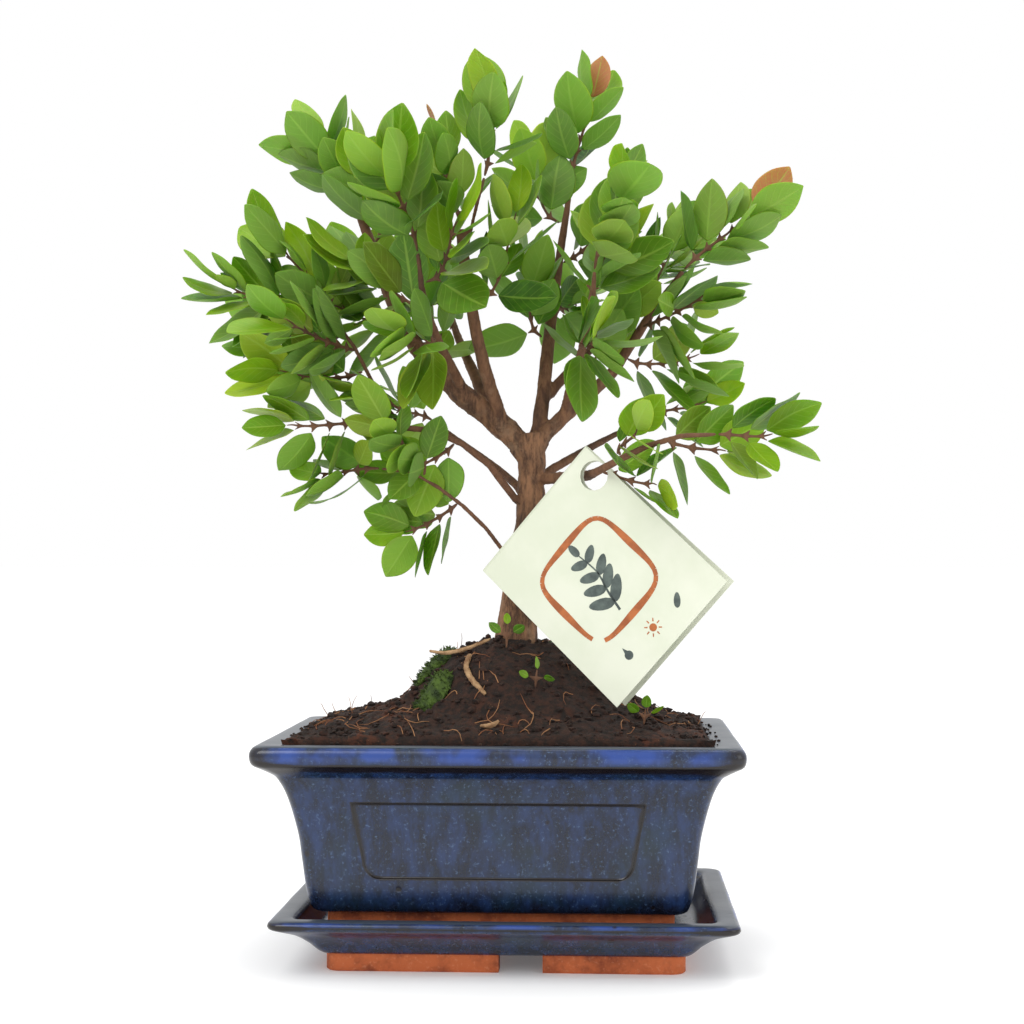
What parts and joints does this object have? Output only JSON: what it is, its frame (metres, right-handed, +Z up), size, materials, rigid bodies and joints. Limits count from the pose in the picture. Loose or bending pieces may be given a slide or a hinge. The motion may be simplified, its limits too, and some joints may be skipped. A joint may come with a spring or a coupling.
{
  "type": "bonsai tree in a pot",
  "caption": "Small indoor bonsai with fine green foliage in a blue glazed rectangular pot on a matching saucer, with a folded card hung on a branch.",
  "frame": {"origin": "middle of the underside of the whole object's box, on the surface it stands on", "axes": "+Z up along the trunk, +X along the pot's long side, +Y from the front of the pot to its back"},
  "size_m": [0.2082, 0.1486, 0.3132],
  "materials": {
    "blue_glaze": "gloss",
    "potting_soil": "matte",
    "bark": "matte",
    "leaf": "satin",
    "young_leaf": "satin",
    "dry_root": "matte",
    "moss": "matte",
    "card": "satin"
  },
  "bodies": {
    "root": {"saucer": "blue_glaze", "pot": "blue_glaze", "soil": "potting_soil", "trunk_and_branches": "bark", "label_card": "card", "hooked_root": "dry_root", "fallen_twig": "dry_root", "bark_chip": "dry_root", "moss_cushion_1": "moss", "moss_cushion_2": "moss", "moss_cushion_3": "moss", "seedling_1": "young_leaf", "seedling_2": "young_leaf", "seedling_3": "young_leaf", "shoot_01": "leaf", "shoot_02": "leaf", "shoot_03": "leaf", "shoot_04": "leaf", "shoot_05": "leaf", "shoot_06": "leaf", "shoot_07": "leaf", "shoot_08": "leaf", "shoot_09": "leaf", "shoot_10": "leaf", "shoot_11": "leaf", "shoot_12": "leaf", "shoot_13": "leaf", "shoot_14": "leaf", "shoot_15": "leaf", "shoot_16": "leaf", "shoot_17": "leaf", "shoot_18": "leaf", "shoot_19": "leaf", "shoot_20": "leaf", "shoot_21": "leaf", "shoot_22": "leaf", "shoot_23": "leaf", "shoot_24": "leaf", "shoot_25": "leaf", "shoot_26": "leaf", "shoot_27": "leaf", "shoot_28": "leaf", "shoot_29": "leaf", "shoot_30": "leaf", "shoot_31": "leaf", "shoot_32": "leaf", "shoot_33": "leaf", "shoot_34": "leaf", "shoot_35": "leaf", "shoot_36": "leaf", "shoot_37": "leaf", "shoot_38": "leaf", "shoot_39": "leaf", "shoot_40": "leaf", "shoot_41": "leaf", "shoot_42": "leaf", "shoot_43": "leaf", "shoot_44": "leaf", "shoot_45": "leaf"}
  },
  "joints": []
}
